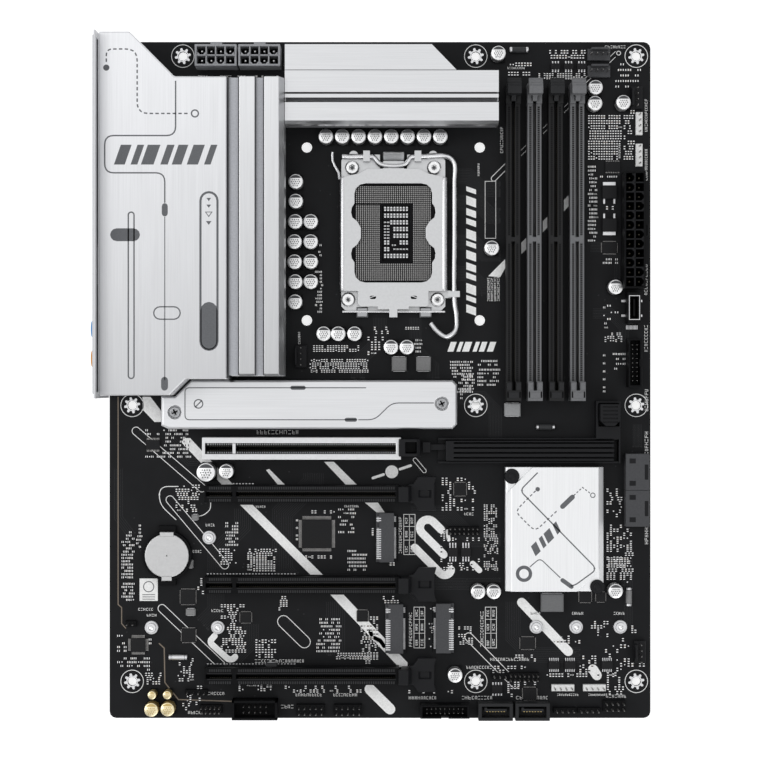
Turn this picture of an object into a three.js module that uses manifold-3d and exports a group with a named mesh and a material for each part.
// A full-size desktop motherboard as an assembly of separate pieces, in millimetres.
// X runs across the board, away from the rear ports. Y runs towards the top edge, and Z away from the
// component side.
// The origin is the centre of the board's underside.

import * as THREE from 'three';
import { mergeVertices } from 'three/addons/utils/BufferGeometryUtils.js';
import Module from 'manifold-3d';

const wasm = await Module();
wasm.setup();

// ---------------------------------------------------------------- driving dimensions

const board = { width: 243.84, length: 304.8, thickness: 1.6, cornerRadius: 3 };
const seatGap = 0.05;
const surface = board.thickness + seatGap;
const pieceGap = 0.3;
const edge = { left: -board.width / 2, top: board.length / 2 };

const mountingHoles = {
  radius: 1.98,
  columnsFromLeft: [10.16, 165.1, 237.49],
  firstColumnOfTopRow: 33.02,
  rowsFromTop: [6.35, 163.83, 288.29],
};

const socket = {
  x: 6,
  y: 65.9,
  coolerHoleSpacing: 78,
  coolerHoleRadius: 2.4,
  backplate: { size: 66, corner: 9, window: 26, thickness: 2.2, recess: 0.1 },
  body: { width: 39, length: 46, height: 4.4, fieldWidth: 34.4, fieldLength: 43.2, fieldFloor: 2.8 },
  cavity: { left: -5, right: 7.5, bottom: -12.5, top: 12.3, floor: 1.2 },
  frame: { halfWidth: 23.4, bottom: -35.3, top: 35.6, corner: 2.5, plate: 1.3, wall: 4.2 },
  plate: { underside: 4.9, thickness: 1.2, halfWidth: 24.1, bottom: -26, top: 24.8, skirt: 2.9 },
  screws: [[-18.5, 29.5], [18.3, 29.5], [-20.3, -29.8], [19.9, -29.8]],
  screwHead: { radius: 3.3, height: 2.6, driveRadius: 1.5, driveDepth: 1.6 },
};
const lever = { wireRadius: 1.15, height: 3.2, axisY: 34.5, crankY: 30.9, armX: 27.4, hookBottomY: -46.5 };
const leverClips = { spans: [[-13.5, -10.5], [9.5, 12.5]], halfDepth: 2.4, height: 6.1, bore: 1.6 };

const cover = {
  height: 34.5 - board.thickness, wall: 2,
  left: -122.3, divide: -66.6, bottom: -6.8, shoulder: 132, top: 151.5,
};
const vrm = { left: -65.1, right: -41.9, bottom: 1.7, top: 132, height: 34.5 - board.thickness, trough: 5 };
const topSink = { left: -41.7, right: 52, front: 112.3, back: 147.1, height: 28 - board.thickness };

const shield = {
  outerFace: -123.9, sheet: 0.8, flangeBack: -122.4, bottom: -8, top: 150.75,
  low: -0.65, high: 43.55, rimY: 2, rimZ: 1.2, clearance: 0.35,
};
const portDepth = 17;
const portFace = -124.9;
const usbPair = [[0, 3.9, 12.7, 5.2], [0, 11.2, 12.7, 5.2]];
const ports = [
  { name: 'ps2_usb_port', y: 138.5, width: 15.6, height: 29,
    sockets: usbPair, roundSocket: { z: 22, radius: 4.6 } },
  { name: 'video_port_stack', y: 113.5, width: 17.6, height: 19.4,
    sockets: [[0, 5.2, 15, 4.9], [0, 14, 16.1, 4.9]] },
  { name: 'usb_port_stack_1', y: 93.5, width: 14.6, height: 15.4, sockets: usbPair },
  { name: 'usb_port_stack_2', y: 74, width: 14.6, height: 15.4, sockets: usbPair },
  { name: 'lan_usb_stack', y: 50.5, width: 16.4, height: 29.2,
    sockets: [...usbPair, [0, 21.6, 11.8, 9.4]] },
];
const audio = {
  y: 15.8, width: 26.4, height: 30.4, face: -122.9, columnOffset: 6.5, rows: [6, 15.8, 25.6],
  ringRadius: 3.5, ringLength: 3.2, boreRadius: 1.8, boreDepth: 5, opticalSize: 7, shutterInset: 1.2,
};
const flashback = { y: 126.3, z: 8, size: 4.6, length: 9, face: -125.8 };

const powerPlug = { pitch: 4.2, wall: 0.9, width: 9.6, height: 12.8, floor: 2.3 };
const dimm = {
  columns: [59.5, 69, 78.5, 88.1],
  bottom: -9.3, width: 6.2, height: 8.6,
  groove: 1.6, grooveFloor: 2.6, keyAt: 71.2, keyLength: 2,
  towerLength: 8.5, towerWidth: 6.5, towerHeight: 14,
  cheekStart: 132.6, cheekEnd: 141.6, cheekHeight: 10.6, channel: 2.8, pivotAt: 138, pivotHeight: 4,
};
const pcie = {
  left: -78.4, right: 8.5, width: 7.5, height: 11.2,
  groove: 1.9, grooveFloor: 3, keyAt: -65.8, keyLength: 1.7, endWall: 0.8,
  rows: [-30.5, -50.85, -91.5, -132.1],
};
const thumbLatch = { pivotX: 11.6, pivotHeight: 4, right: 25.3, halfWidth: 7.6 };

const m2Sink = { floor: 4.2, top: 13.6, bevel: 0.8, feet: [[-91.2, -14.3], [27.5, -10.5]], footRadius: 3.4 };
const chipset = { left: 56, right: 100, bottom: -94.4, top: -38.9, height: 10, floor: 1.2 };
const battery = {
  x: -95.7, y: -78.9, radius: 10, thickness: 3.2, floor: 1.1, ringRadius: 11.2, ringHeight: 4,
};
const release = {
  railLeft: 26, railRight: 107.6, railTop: -25.9, railBottom: -37.3, railHeight: 6, housingHeight: 7.6,
  housing: { left: 96.7, top: -9.4 }, well: { left: 97.7, right: 107, bottom: -20.7, top: -10.4 },
  button: { x: 102.35, y: -15.6, halfWidth: 4.4, halfLength: 4.8, corner: 2.4 },
};
const sidePort = { x: 110, rows: [-41.2, -57.5], depth: 10.6, halfLength: 8.1, height: 7.3 };

// ---------------------------------------------------------------- finishes

const finishes = {
  boardBlack: { color: 0x17181a, roughness: 0.55, metalness: 0 },
  steel: { color: 0xc9cacb, roughness: 0.35, metalness: 1 },
  paleAluminium: { color: 0xd6d8db, roughness: 0.42, metalness: 1 },
  blackPlastic: { color: 0x1d1e20, roughness: 0.6, metalness: 0 },
  greyPlastic: { color: 0x8b8d90, roughness: 0.6, metalness: 0 },
  whiteSteel: { color: 0xdcdde2, roughness: 0.4, metalness: 0.9 },
};

// ---------------------------------------------------------------- solid helpers

function toSolid(geometry) {
  geometry.deleteAttribute('normal');
  geometry.deleteAttribute('uv');
  const merged = mergeVertices(geometry, 1e-4);
  return new wasm.Manifold(new wasm.Mesh({
    numProp: 3,
    vertProperties: new Float32Array(merged.attributes.position.array),
    triVerts: new Uint32Array(merged.index.array),
  }));
}

function toGeometry(solid) {
  const mesh = solid.getMesh();
  const geometry = new THREE.BufferGeometry();
  geometry.setAttribute('position', new THREE.BufferAttribute(mesh.vertProperties, 3));
  geometry.setIndex(new THREE.BufferAttribute(mesh.triVerts, 1));
  geometry.computeVertexNormals();
  return geometry;
}

// A block between two opposite corners.
function block([x0, y0, z0], [x1, y1, z1]) {
  const geometry = new THREE.BoxGeometry(x1 - x0, y1 - y0, z1 - z0);
  return toSolid(geometry.translate((x0 + x1) / 2, (y0 + y1) / 2, (z0 + z1) / 2));
}

function extruded(outline, depth) {
  const shape = new THREE.Shape(outline.map(([u, v]) => new THREE.Vector2(u, v)));
  return new THREE.ExtrudeGeometry(shape, { depth, bevelEnabled: false });
}

// An outline of (x, y) points, raised from z0 to z1.
function slab(outline, z0, z1) {
  return toSolid(extruded(outline, z1 - z0).translate(0, 0, z0));
}

// An outline of (y, z) points, drawn along X from x0 to x1.
function alongX(outline, x0, x1) {
  const turn = new THREE.Matrix4().set(0, 0, 1, x0, 1, 0, 0, 0, 0, 1, 0, 0, 0, 0, 0, 1);
  return toSolid(extruded(outline, x1 - x0).applyMatrix4(turn));
}

// An outline of (x, z) points, drawn along Y from y0 to y1.
function alongY(outline, y0, y1) {
  const turn = new THREE.Matrix4().set(0, 1, 0, 0, 0, 0, 1, y0, 1, 0, 0, 0, 0, 0, 0, 1);
  return toSolid(extruded(outline.map(([x, z]) => [z, x]), y1 - y0).applyMatrix4(turn));
}

// An upright round peg.
function peg(x, y, radius, z0, z1, sides = 12) {
  const geometry = new THREE.CylinderGeometry(radius, radius, z1 - z0, sides);
  return toSolid(geometry.rotateX(Math.PI / 2).translate(x, y, (z0 + z1) / 2));
}

// A round peg that lies along X.
function pegAlongX(y, z, radius, x0, x1, sides = 12) {
  const geometry = new THREE.CylinderGeometry(radius, radius, x1 - x0, sides);
  return toSolid(geometry.rotateZ(Math.PI / 2).translate((x0 + x1) / 2, y, z));
}

function join(...solids) {
  return solids.reduce((whole, piece) => whole.add(piece));
}

function cut(solid, ...tools) {
  return tools.reduce((whole, tool) => whole.subtract(tool), solid);
}

function mirrored(points) {
  return [...points, ...points.map(([x, y]) => [-x, y]).reverse()];
}

function roundedRectangle(halfWidth, halfLength, radius, steps) {
  const corners = [[1, 1, 0], [-1, 1, 1], [-1, -1, 2], [1, -1, 3]];
  return corners.flatMap(([sx, sy, quarter]) => Array.from({ length: steps + 1 }, (_, i) => {
    const angle = (quarter + i / steps) * Math.PI / 2;
    return [
      sx * (halfWidth - radius) + radius * Math.cos(angle),
      sy * (halfLength - radius) + radius * Math.sin(angle),
    ];
  }));
}

// ---------------------------------------------------------------- board and processor socket

function circuitBoard() {
  const outline = roundedRectangle(board.width / 2, board.length / 2, board.cornerRadius, 3);
  const holes = [];
  mountingHoles.rowsFromTop.forEach((down, row) => {
    mountingHoles.columnsFromLeft.forEach((along, column) => {
      const fromLeft = row === 0 && column === 0 ? mountingHoles.firstColumnOfTopRow : along;
      holes.push([edge.left + fromLeft, edge.top - down, mountingHoles.radius]);
    });
  });
  const half = socket.coolerHoleSpacing / 2;
  for (const sx of [-1, 1]) {
    for (const sy of [-1, 1]) {
      holes.push([socket.x + sx * half, socket.y + sy * half, socket.coolerHoleRadius]);
    }
  }
  const drills = holes.map(([x, y, radius]) => peg(x, y, radius, -1, board.thickness + 1));
  const clear = socket.backplate.size / 2 + 0.5;
  const recess = block(
    [socket.x - clear, socket.y - clear, -1],
    [socket.x + clear, socket.y + clear, socket.backplate.recess],
  );
  return cut(slab(outline, 0, board.thickness), ...drills, recess);
}

// The stiffening plate under the board, around the socket.
function socketBackplate() {
  const { size, corner, window: hole, thickness } = socket.backplate;
  const half = size / 2;
  const quarter = [[half, 0], [half, half - corner], [half - corner, half]];
  const right = [...quarter.map(([x, y]) => [x, -y]).reverse(), ...quarter.slice(1)];
  const opening = block([-hole / 2, -hole / 2, -thickness - 1], [hole / 2, hole / 2, 1]);
  return cut(slab(mirrored(right), -thickness, 0), opening);
}

function socketBody() {
  const { width, length, height, fieldWidth, fieldLength, fieldFloor } = socket.body;
  const { left, right, bottom, top, floor } = socket.cavity;
  return cut(
    block([-width / 2, -length / 2, 0], [width / 2, length / 2, height]),
    block([-fieldWidth / 2, -fieldLength / 2, fieldFloor], [fieldWidth / 2, fieldLength / 2, height + 1]),
    block([left, bottom, floor], [right, top, height]),
  );
}

// The pressed steel frame that the screws hold to the board.
function socketFrame() {
  const { halfWidth, bottom, top, corner, plate, wall } = socket.frame;
  const { spans, halfDepth, height, bore } = leverClips;
  const clearX = socket.body.width / 2 + 0.4;
  const clearY = socket.body.length / 2 + 0.4;
  const outlineRight = [
    [halfWidth - corner, bottom], [halfWidth, bottom + corner], [halfWidth, top - corner],
    [halfWidth - corner, top],
  ];
  const ribInner = clearX + 0.3;
  const rib = (side) => block(
    [Math.min(side * ribInner, side * (ribInner + 1.2)), -20, 0],
    [Math.max(side * ribInner, side * (ribInner + 1.2)), 20, wall],
  );
  const bump = (side) => peg(side * 17.9, top - 0.3, 2.1, 0, plate);
  const clips = spans.map(([x0, x1]) =>
    block([x0, lever.axisY - halfDepth, 0], [x1, lever.axisY + halfDepth, height]));
  const hookX = lever.armX;
  const hook = join(
    block([halfWidth - 1, -29, 0], [hookX - 1.5, -25.6, plate]),
    block([hookX - 2.8, -28.7, 0], [hookX - 1.5, -26, 5.2]),
    block([hookX - 2.8, -28.7, 4.7], [hookX + 2.4, -26, 5.5]),
  );
  const solid = join(
    slab(mirrored(outlineRight), 0, plate),
    block([corner - halfWidth, bottom, 0], [halfWidth - corner, bottom + 1, 3.2]),
    rib(-1), rib(1), bump(-1), bump(1), ...clips, hook,
  );
  return cut(
    solid,
    block([-clearX, -clearY, -1], [clearX, clearY, wall + 1]),
    block([-6, 27, -1], [6.2, top + 3, plate + 1]),
    pegAlongX(lever.axisY, lever.height, bore, spans[0][0] - 1, spans[1][1] + 1, 16),
  );
}

// The sprung plate that clamps the processor: rolled sides, a shaped window, and a hinge tongue under the
// lever's crank.
function loadPlate() {
  const { underside, thickness, halfWidth, bottom, top, skirt } = socket.plate;
  const face = underside + thickness;
  const outlineRight = [
    [1.8, -37.8], [1.8, -34.2], [7, -34.2], [7, -33], [14.8, -33], [15.8, -32], [15.8, bottom],
    [halfWidth, bottom], [halfWidth, top], [21.4, 25.4], [15.6, 26.6], [11.6, 28.8],
  ];
  const windowRight = [
    [12.6, -22.2], [15, -21.6], [16.8, -19.9], [17.4, -17.6], [17.4, -13.2], [18.6, -11.4], [18.9, -9.2],
    [18.4, -7], [16.2, -5.2], [14.5, -2.3], [14.5, 2.3], [16.2, 5.2], [18.4, 7], [18.9, 9.2], [18.6, 11.4],
    [17.4, 13.2], [17.4, 17.6], [16.8, 19.9], [15, 21.6], [12.6, 22.2],
  ];
  const sectionRight = [
    [halfWidth - 2.6, underside], [halfWidth - 1.3, 4.1], [halfWidth - 1, skirt], [halfWidth, skirt],
    [halfWidth, 4.3], [halfWidth - 0.7, 5.4], [halfWidth - 2, face],
  ];
  const pressed = alongY(mirrored(sectionRight), -40, 30);
  const tongue = [
    [27.6, underside], [28, underside], [28, 0.6], [33, 0.6], [36.6, 4.1], [36, 4.8], [32.6, 1.6],
    [29, 1.6], [29, underside + thickness], [27.6, underside + thickness],
  ];
  return join(
    cut(
      pressed.intersect(slab(mirrored(outlineRight), skirt - 1, face + 1)),
      slab(mirrored(windowRight), underside - 1, face + 1),
    ),
    alongX(tongue, -4.6, 4.8),
  );
}

// One bent steel wire: the bearing stretch with its crank, the long arm and the finger hook.
function loadLever() {
  const { height, axisY, crankY, armX, hookBottomY } = lever;
  const route = [
    [-23, axisY, height], [-14, axisY, height], [-10.4, axisY, height], [-9, axisY - 0.3, height],
    [-5.6, crankY, height], [5.2, crankY, height], [8, axisY - 0.3, height], [9.4, axisY, height],
    [13, axisY, height], [24.4, axisY, height],
    [armX, axisY - 3, height], [armX, axisY - 12, height], [armX, 0, height], [armX, -30, height],
    [armX + 0.9, -38, height + 0.8], [armX + 0.4, -43.6, height + 1.6], [armX - 3.6, hookBottomY, height + 2],
    [armX - 7.4, -44.4, height + 2], [armX - 10.8, -40.4, height + 2],
  ].map(([x, y, z]) => new THREE.Vector3(x, y, z));
  const section = new THREE.Shape();
  section.absarc(0, 0, lever.wireRadius, 0, 2 * Math.PI);
  return toSolid(new THREE.ExtrudeGeometry(section, {
    steps: 72, curveSegments: 4, bevelEnabled: false,
    extrudePath: new THREE.CatmullRomCurve3(route, false, 'centripetal'),
  }));
}

function socketScrew() {
  const { radius, height, driveRadius, driveDepth } = socket.screwHead;
  const profile = [[0, 0], [radius, 0], [radius, height - 0.7], [radius - 0.7, height], [0, height]];
  const head = new THREE.LatheGeometry(profile.map(([r, z]) => new THREE.Vector2(r, z)), 12);
  return cut(
    toSolid(head.rotateX(Math.PI / 2)),
    peg(0, 0, driveRadius, height - driveDepth, height + 1, 6),
  );
}

// ---------------------------------------------------------------- covers and heatsinks

// The cover over the rear ports: a shell that is open below and towards the port shield.
function ioCover() {
  const { height, wall, left, divide, bottom, shoulder, top } = cover;
  const outer = [
    [left, bottom], [-91.6, bottom], [-84.6, 0.3], [divide, 0.3], [divide, shoulder], [-89.4, shoulder],
    [-108.8, top], [left, top],
  ];
  const inner = [
    [left - 1, bottom + wall], [-92.4, bottom + wall], [-85.4, 0.3 + wall], [divide - wall, 0.3 + wall],
    [divide - wall, shoulder - wall], [-90.2, shoulder - wall], [-109.6, top - wall], [left - 1, top - wall],
  ];
  return cut(slab(outer, 0, height), slab(inner, -1, height - wall));
}

// The finned block beside the socket: raised bands with troughs between them, on a narrower foot.
function vrmHeatsink() {
  const { left, right, bottom, top, height, trough } = vrm;
  const low = height - trough;
  const section = [
    [-63.5, 0], [-44.6, 0], [-44.6, 11], [right, 12.4], [right, low], [right - 2.1, height],
    [-50.3, height], [-50.3, low], [-54.4, low], [-54.4, height], [-61.2, height], [-61.2, low],
    [left, low], [left, 12], [-63.5, 12],
  ];
  const chamfer = [[-1, height + 1], [bottom + 1.6, height + 1], [bottom - 1, height - 3]];
  return cut(alongY(section, bottom, top), alongX(chamfer, left - 1, right + 1));
}

function topHeatsink() {
  const { left, right, front, back, height } = topSink;
  const section = [
    [117, 2.6], [136, 2.6], [136, height - 5], [135.6, height - 5], [135.6, height],
    [126.1, height], [126.1, height - 4], [125.4, height - 4], [125.4, height - 1], [123.8, height - 1],
    [123.8, height - 4], [122.7, height - 4], [121.6, height], [front + 1.3, height],
    [front, height - 2.6], [front, 12], [117, 11],
  ];
  const rearPlate = [[left, 135.95], [33.5, 135.95], [22.7, back], [left, back]];
  const foot = block([left + 6, 135, 2.6], [18, 143, 12]);
  return join(alongX(section, left, right), slab(rearPlate, 9, height - 0.6), foot);
}

function m2Heatsink() {
  const { floor, top, bevel, feet, footRadius } = m2Sink;
  const outline = [
    [-97.2, -20.3], [-94, -21.8], [32.2, -21.8], [34.3, -19.7], [34.3, -2.1], [32.3, -0.1], [-84, -0.1],
    [-91.1, -7.2], [-97.2, -7.2],
  ];
  const shape = new THREE.Shape(outline.map(([x, y]) => new THREE.Vector2(x, y)));
  const plate = new THREE.ExtrudeGeometry(shape, {
    depth: top - floor - bevel, bevelEnabled: true, bevelThickness: bevel, bevelSize: 0.01 + bevel,
    bevelOffset: -bevel, bevelSegments: 1,
  });
  const body = toSolid(plate.translate(0, 0, floor));
  const underCut = block([-120, -40, floor - 3], [60, 20, floor]);
  const legs = feet.map(([x, y]) => peg(x, y, footRadius, 0, floor + 1));
  const seats = feet.map(([x, y]) => peg(x, y, 3.1, top - 1.5, top + 1));
  return cut(join(cut(body, underCut), ...legs), ...seats);
}

function countersunkScrew() {
  const profile = [[0, 0], [2.7, 0], [2.7, 0.9], [2.2, 1.3], [0, 1.3]];
  const head = new THREE.LatheGeometry(profile.map(([r, z]) => new THREE.Vector2(r, z)), 12);
  const slot = (turn) => toSolid(new THREE.BoxGeometry(3, 0.6, 1).rotateZ(turn).translate(0, 0, 1.2));
  return cut(toSolid(head.rotateX(Math.PI / 2)), slot(0), slot(Math.PI / 2));
}

// The low square heatsink, with recessed corners for its two spring fasteners.
function chipsetHeatsink() {
  const { left, right, bottom, top, height, floor } = chipset;
  const section = [
    [left + 3, floor], [right - 3, floor], [right - 3, 3], [right, 3], [right, height - 3.2],
    [right - 2.4, height - 1.2], [right - 2.4, height], [left + 2.7, height], [left, height - 2.2],
    [left, 3], [left + 3, 3],
  ];
  const corner = 13;
  const recess = (outline) => slab(outline, height - 1.6, height + 1);
  return cut(
    alongY(section, bottom, top),
    recess([[left - 1, top + 1], [left - 1, top - corner], [left + corner, top + 1]]),
    recess([[right + 1, bottom - 1], [right + 1, bottom + corner], [right - corner, bottom - 1]]),
  );
}

// ---------------------------------------------------------------- rear shield and ports

// A port block whose face looks along -X. Its local origin is at the face, on the board.
function portBlock({ width, height, sockets, roundSocket }) {
  const cavities = sockets.map(([y, z, wide, high]) =>
    block([-1, y - wide / 2, z - high / 2], [portDepth - 4, y + wide / 2, z + high / 2]));
  if (roundSocket) {
    cavities.push(pegAlongX(0, roundSocket.z, roundSocket.radius, -1, portDepth - 4, 16));
  }
  return cut(block([0, -width / 2, 0], [portDepth, width / 2, height]), ...cavities);
}

function audioPlaces() {
  return audio.rows.flatMap((z, row) => [-1, 1].map((side) => ({
    y: side * audio.columnOffset, z, optical: row === 0 && side === -1,
  })));
}

function audioJackBlock() {
  const { width, height, ringRadius, ringLength, boreRadius, boreDepth, opticalSize, shutterInset } = audio;
  let solid = block([0, -width / 2, 0], [portDepth - 1, width / 2, height]);
  for (const { y, z, optical } of audioPlaces()) {
    if (optical) {
      const half = opticalSize / 2;
      solid = cut(solid, block([-1, y - half, z - half], [shutterInset, y + half, z + half]));
    } else {
      const ring = pegAlongX(y, z, ringRadius, -ringLength, 1, 16);
      solid = cut(join(solid, ring), pegAlongX(y, z, boreRadius, -ringLength - 1, boreDepth, 8));
    }
  }
  return solid;
}

function ioShield() {
  const { outerFace, sheet, flangeBack, bottom, top, low, high, rimY, rimZ, clearance } = shield;
  const flange = block([flangeBack - sheet, bottom, low], [flangeBack, top, high]);
  const embossed = block([outerFace, bottom + rimY, low + rimZ], [flangeBack, top - rimY, high - rimZ]);
  const hollow = block(
    [outerFace + sheet, bottom + rimY + sheet, low + rimZ + sheet],
    [flangeBack + 1, top - rimY - sheet, high - rimZ - sheet],
  );
  const reach = [outerFace - 1, flangeBack + 1];
  const windows = ports.map(({ y, width, height }) => block(
    [reach[0], y - width / 2 - clearance, low + rimZ + sheet],
    [reach[1], y + width / 2 + clearance, surface + height + clearance],
  ));
  const jackHoles = audioPlaces().map(({ y, z, optical }) => {
    const [cy, cz, half] = [audio.y + y, surface + z, audio.opticalSize / 2];
    return optical
      ? block([reach[0], cy - half, cz - half], [reach[1], cy + half, cz + half])
      : pegAlongX(cy, cz, audio.ringRadius + clearance, ...reach, 12);
  });
  const half = flashback.size / 2 + clearance;
  const buttonHole = block(
    [reach[0], flashback.y - half, surface + flashback.z - half],
    [reach[1], flashback.y + half, surface + flashback.z + half],
  );
  return cut(join(flange, embossed), hollow, ...windows, ...jackHoles, buttonHole);
}

function flashbackButton() {
  const half = flashback.size / 2;
  return block([0, -half, -half], [flashback.length, half, half]);
}

// ---------------------------------------------------------------- power, memory and card connectors

// An open-topped power header. Its latch ramp faces -Y.
function powerHeader(columns) {
  const { pitch, wall, width, height, floor } = powerPlug;
  const half = (columns * pitch) / 2 + wall;
  const side = width / 2;
  const ramp = alongX([[-side + 0.1, 5], [-side - 1.7, 8], [-side - 1.7, 9], [-side + 0.1, 9]], -2.6, 2.6);
  return join(
    cut(
      block([-half, -side, 0], [half, side, height]),
      block([-half + wall, -side + wall, floor], [half - wall, side - wall, height + 1]),
    ),
    ramp,
  );
}

// A memory slot. Its local origin is the middle of its closed end, and it runs along +Y.
function dimmSlot() {
  const half = dimm.width / 2;
  const tower = dimm.towerWidth / 2;
  const slit = dimm.groove / 2;
  return cut(
    join(
      block([-half, 0, 0], [half, dimm.cheekEnd, dimm.height]),
      block([-tower, 0, 0], [tower, dimm.towerLength, dimm.towerHeight]),
      block([-tower, dimm.cheekStart, 0], [tower, dimm.cheekEnd, dimm.cheekHeight]),
    ),
    block([-slit, 4.6, dimm.grooveFloor], [slit, dimm.keyAt, 30]),
    block([-slit, dimm.keyAt + dimm.keyLength, dimm.grooveFloor], [slit, dimm.cheekEnd, 30]),
    block([-dimm.channel / 2, dimm.cheekStart + 1.2, -1], [dimm.channel / 2, dimm.cheekEnd + 1, 30]),
  );
}

// The swinging latch at the slot's open end, drawn about its pivot.
function dimmLatch() {
  const stemHalf = dimm.channel / 2 - pieceGap;
  const gripHalf = dimm.width / 2;
  const stem = [
    [-1.6, -2.2], [1.6, -2.2], [2.6, -1], [2.8, 8.6], [2.8, 9], [-2.4, 9], [-4.6, 8.2], [-4.6, 7],
    [-2.6, 6.4], [-2.6, -1],
  ];
  const grip = [
    [-2.1, 8.2], [3, 8.2], [5.1, 11.2], [5.1, 12.6], [3.8, 13.2], [3.8, 14], [2.6, 14], [2.6, 14.6],
    [1.4, 14.6], [1.4, 15.2], [-2.1, 15.2],
  ];
  return join(alongX(stem, -stemHalf, stemHalf), alongX(grip, -gripHalf, gripHalf));
}

// A long card slot. Its local origin is in its groove, and it runs along X.
function pcieSlot() {
  const { left, right, width, height, groove, grooveFloor, keyAt, keyLength, endWall } = pcie;
  const slit = groove / 2;
  return cut(
    block([left, -width / 2, 0], [right, width / 2, height]),
    block([left + endWall, -slit, grooveFloor], [keyAt, slit, height + 1]),
    block([keyAt + keyLength, -slit, grooveFloor], [right - 1.6, slit, height + 1]),
    block([left + 1.2, -width / 2 - 1, 2], [right - 1.2, -width / 2 + 0.5, height - 3]),
    block([left + 1.2, width / 2 - 0.5, 2], [right - 1.2, width / 2 + 1, height - 3]),
  );
}

// The folded steel jacket around the first card slot, open below and along the groove.
function pcieJacket() {
  const { left, right, width, height } = pcie;
  const sheet = 0.5;
  const clear = pieceGap;
  const outer = { x: clear + sheet, y: width / 2 + 1.2 };
  return cut(
    block([left - outer.x, -outer.y, 0], [right + outer.x, outer.y, height + clear + sheet]),
    block([left - clear, -outer.y + sheet, -1], [right + clear, outer.y - sheet, height + clear]),
    block([left + 0.6, -2.4, height - 1], [right - 1.4, 2.4, height + 3]),
  );
}

// A thumb latch at the end of a card slot, drawn about its pivot: hook, cheeks and paddle.
function cardLatch() {
  const { pivotX, right, halfWidth } = thumbLatch;
  const reach = right - pivotX;
  const hook = [
    [-2.1, -2.2], [2.4, -2.2], [2.4, 6.6], [1, 10], [-3.4, 10], [-3.4, 8.8], [-1.4, 7.6], [-2.1, 6],
  ];
  const paddle = [
    [1.4, -4.2], [3.4, -4.4], [5.6, -halfWidth], [reach, -halfWidth], [reach - 0.9, -halfWidth + 3],
    [reach - 0.9, halfWidth - 3], [reach, halfWidth], [5.6, halfWidth], [3.4, 4.4], [1.4, 4.2],
  ];
  return cut(
    join(alongY(hook, -3.4, 3.4), slab(paddle, 0.2, 3)),
    alongY([[5, 3.4], [reach - 1.6, 3.4], [reach - 3.4, 1.8], [6.5, 1.8]], -1.6, 1.6),
  );
}

// The latch of the first card slot: an open frame that the release rod tips, drawn about its pivot.
function framedLatch() {
  const hook = [[-4, -1.4], [4, -1.4], [4, 9.8], [2.4, 11.4], [-5.6, 11.4], [-5.6, 10], [-4, 8.8]];
  return cut(
    alongY(hook, -3.9, 3.9),
    block([-2.6, -2.5, 1], [2.4, 2.5, 20]),
  );
}

// ---------------------------------------------------------------- quick release for the first card slot

function releaseBase() {
  const { railLeft, railRight, railTop, railBottom, railHeight, housingHeight, housing, well } = release;
  const rodEnd = 106.8;
  return cut(
    join(
      block([railLeft, railBottom, 0], [railRight, railTop, railHeight]),
      block([rodEnd, railBottom, 0], [railRight, railTop, housingHeight]),
      block([housing.left, railTop - 0.5, 0], [railRight, housing.top, housingHeight]),
    ),
    block([railLeft - 1, railBottom + 0.9, 1], [rodEnd, railTop - 0.9, 20]),
    block([well.left, well.bottom, 1], [well.right, well.top, 20]),
  );
}

// The sliding bar between the button and the latch, with ridges along its top.
function releaseRod() {
  const low = release.railBottom + 1.2;
  const high = release.railTop - 1.2;
  const ridges = [-34.7, -32.5, -30.3, -28.1].map((y) => block([33, y - 0.35, 5], [120, y + 0.35, 20]));
  const strap = block([18.9, -31.4, 2.4], [30, -28.8, 4.4]);
  const pull = block([18.9, -32.4, 2.4], [22.6, -27.8, 7]);
  return join(
    cut(block([29.4, low, 1.3], [104.6, high, 8.6]), ...ridges),
    strap,
    pull,
  );
}

// The ribbed push button, with cut corners, over the end of the rod.
function releaseButton() {
  const { halfWidth, halfLength, corner } = release.button;
  const outlineRight = [
    [halfWidth - corner, -halfLength], [halfWidth, corner - halfLength], [halfWidth, halfLength],
  ];
  const ribs = Array.from({ length: 5 }, (_, i) => {
    const y = -halfLength + 1.3 + i * 1.7;
    return block([1.1 - halfWidth, y, 8.3], [halfWidth - 1.1, y + 0.7, 20]);
  });
  return cut(slab(mirrored(outlineRight), 0, 9), ...ribs);
}

// ---------------------------------------------------------------- battery, storage and front panel

function batteryHolder() {
  const { radius, floor, ringRadius, ringHeight } = battery;
  const clip = block([-4, -ringRadius - 2.2, 0], [4, ringRadius + 2.2, ringHeight - 1]);
  return cut(
    join(peg(0, 0, ringRadius, 0, ringHeight, 28), clip),
    peg(0, 0, radius + pieceGap, floor, ringHeight + 1, 28),
  );
}

function coinCell() {
  const { radius, thickness } = battery;
  const profile = [
    [0, 0], [radius - 1.4, 0], [radius, 0.7], [radius, thickness - 0.3], [radius - 0.3, thickness],
    [0, thickness],
  ];
  const cell = new THREE.LatheGeometry(profile.map(([r, z]) => new THREE.Vector2(r, z)), 28);
  return toSolid(cell.rotateX(Math.PI / 2));
}

// A low drive socket. Its groove faces +X.
function m2Socket() {
  return cut(
    join(
      block([-4.05, -11.1, 0], [4.05, 11.1, 2]),
      block([-4.05, -11.1, 1], [2.6, 11.1, 4.2]),
    ),
    block([-1.2, -9.9, 2], [5, 9.9, 3.1]),
  );
}

// One storage port with its tongue, mouth upwards. Its length runs along X.
function sataPort(height) {
  return join(
    cut(
      block([-7.7, -3.9, 0], [7.7, 3.9, height]),
      block([-6.2, -2.5, 2.4], [6.2, 2.5, height + 1]),
    ),
    block([-5, 0.2, 2], [5, 1.4, height - 0.6]),
    block([-5, 0.2, 2], [-3.8, 2, height - 0.6]),
  );
}

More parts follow.
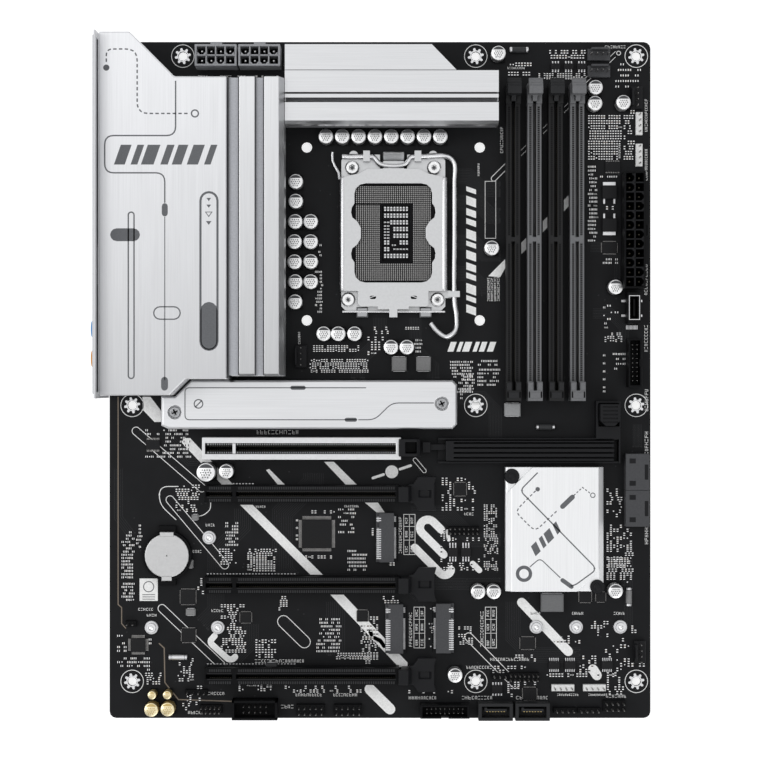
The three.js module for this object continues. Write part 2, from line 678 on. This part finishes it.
// One storage port that lies flat, with its mouth towards +X.
function sideSataPort() {
  const { depth, halfLength, height } = sidePort;
  const middle = height / 2;
  return join(
    cut(
      block([0, -halfLength, 0], [depth, halfLength, height]),
      block([3, -6.2, middle - 2.5], [depth + 1, 6.2, middle + 2.5]),
    ),
    block([2.5, -5, middle - 0.2], [depth - 0.6, 5, middle + 1]),
  );
}

// A tall header for a front-panel USB lead, its key notch facing -Y.
function frontUsbHeader() {
  return cut(
    block([-11, -3, 0], [11, 3, 9.2]),
    block([-10, -2.2, 1.6], [10, 2.2, 10]),
    block([-1.6, -4, 4], [1.6, -2, 10]),
  );
}

function frontUsbCHeader() {
  return cut(
    block([-6.9, -2.95, 0], [6.9, 2.95, 9.8]),
    block([-5.6, -1.6, 1.6], [5.6, 1.6, 11]),
  );
}

// ---------------------------------------------------------------- assembly

const assembly = new THREE.Group();

function place(name, solid, finish, [x, y, z], turn = 0) {
  const mesh = new THREE.Mesh(toGeometry(solid), new THREE.MeshStandardMaterial(finishes[finish]));
  mesh.name = name;
  mesh.position.set(x, y, z);
  mesh.rotation.z = turn;
  assembly.add(mesh);
}

const quarterTurn = Math.PI / 2;
const socketPlace = [socket.x, socket.y, surface];

place('circuit_board', circuitBoard(), 'boardBlack', [0, 0, 0]);
place('socket_backplate', socketBackplate(), 'steel', [socket.x, socket.y, 0]);
place('socket_body', socketBody(), 'blackPlastic', socketPlace);
place('socket_frame', socketFrame(), 'steel', socketPlace);
place('load_plate', loadPlate(), 'steel', socketPlace);
place('load_lever', loadLever(), 'steel', socketPlace);
socket.screws.forEach(([x, y], i) => {
  const height = surface + socket.frame.plate + seatGap;
  place(`socket_screw_${i + 1}`, socketScrew(), 'steel', [socket.x + x, socket.y + y, height]);
});

place('io_cover', ioCover(), 'paleAluminium', [0, 0, surface]);
place('vrm_heatsink', vrmHeatsink(), 'paleAluminium', [0, 0, surface]);
place('top_heatsink', topHeatsink(), 'paleAluminium', [0, 0, surface]);
place('m2_heatsink', m2Heatsink(), 'paleAluminium', [0, 0, surface]);
m2Sink.feet.forEach(([x, y], i) => {
  place(`m2_screw_${i + 1}`, countersunkScrew(), 'steel', [x, y, surface + m2Sink.top - 1.5 + seatGap]);
});
place('chipset_heatsink', chipsetHeatsink(), 'paleAluminium', [0, 0, surface]);

place('io_shield', ioShield(), 'whiteSteel', [0, 0, 0]);
ports.forEach((port) => place(port.name, portBlock(port), 'steel', [portFace, port.y, surface]));
place('audio_jack_block', audioJackBlock(), 'blackPlastic', [audio.face, audio.y, surface]);
place('flashback_button', flashbackButton(), 'greyPlastic', [
  flashback.face, flashback.y, surface + flashback.z,
]);

place('cpu_power_header_1', powerHeader(4), 'greyPlastic', [-73.1, 144.5, surface], Math.PI);
place('cpu_power_header_2', powerHeader(4), 'greyPlastic', [-53.7, 144.5, surface], Math.PI);
place('main_power_header', powerHeader(12), 'blackPlastic', [113.4, 66.9, surface], quarterTurn);

dimm.columns.forEach((x, i) => {
  const finish = i % 2 ? 'greyPlastic' : 'blackPlastic';
  place(`memory_slot_${i + 1}`, dimmSlot(), finish, [x, dimm.bottom, surface]);
  const pivot = [x, dimm.bottom + dimm.pivotAt, surface + dimm.pivotHeight];
  place(`memory_latch_${i + 1}`, dimmLatch(), finish, pivot);
});

pcie.rows.forEach((y, i) => {
  place(`card_slot_${i + 1}`, pcieSlot(), 'blackPlastic', [0, y, surface]);
  if (i === 0) {
    place('card_slot_jacket', pcieJacket(), 'whiteSteel', [0, y, surface]);
    place('card_latch_1', framedLatch(), 'blackPlastic', [13.9, y + 0.4, surface + 3]);
  } else {
    place(`card_latch_${i + 1}`, cardLatch(), 'blackPlastic', [
      thumbLatch.pivotX, y, surface + thumbLatch.pivotHeight,
    ]);
  }
});

place('release_base', releaseBase(), 'blackPlastic', [0, 0, surface]);
place('release_rod', releaseRod(), 'blackPlastic', [0, 0, surface]);
place('release_button', releaseButton(), 'blackPlastic', [release.button.x, release.button.y, surface + 4.6]);

place('battery_holder', batteryHolder(), 'blackPlastic', [battery.x, battery.y, surface]);
place('coin_cell', coinCell(), 'steel', [battery.x, battery.y, surface + battery.floor + seatGap]);

place('m2_socket_1', m2Socket(), 'greyPlastic', [2.25, -70.8, surface], Math.PI);
place('m2_socket_2', m2Socket(), 'greyPlastic', [6.4, -111.8, surface], Math.PI);
place('m2_socket_3', m2Socket(), 'greyPlastic', [29.2, -111.6, surface]);

sidePort.rows.forEach((y, i) => {
  place(`sata_side_port_${i + 1}`, sideSataPort(), 'greyPlastic', [sidePort.x, y, surface]);
});
place('sata_port_1', sataPort(8.6), 'greyPlastic', [51.7, -148.4, surface]);
place('sata_port_2', sataPort(8.6), 'greyPlastic', [68.2, -148.4, surface]);

place('front_usb_c_header', frontUsbCHeader(), 'blackPlastic', [113.5, 32.3, surface], quarterTurn);
place('front_usb_header_1', frontUsbHeader(), 'blackPlastic', [114, 7.7, surface], quarterTurn);
place('front_usb_header_2', frontUsbHeader(), 'blackPlastic', [29, -148.2, surface]);

export default assembly;
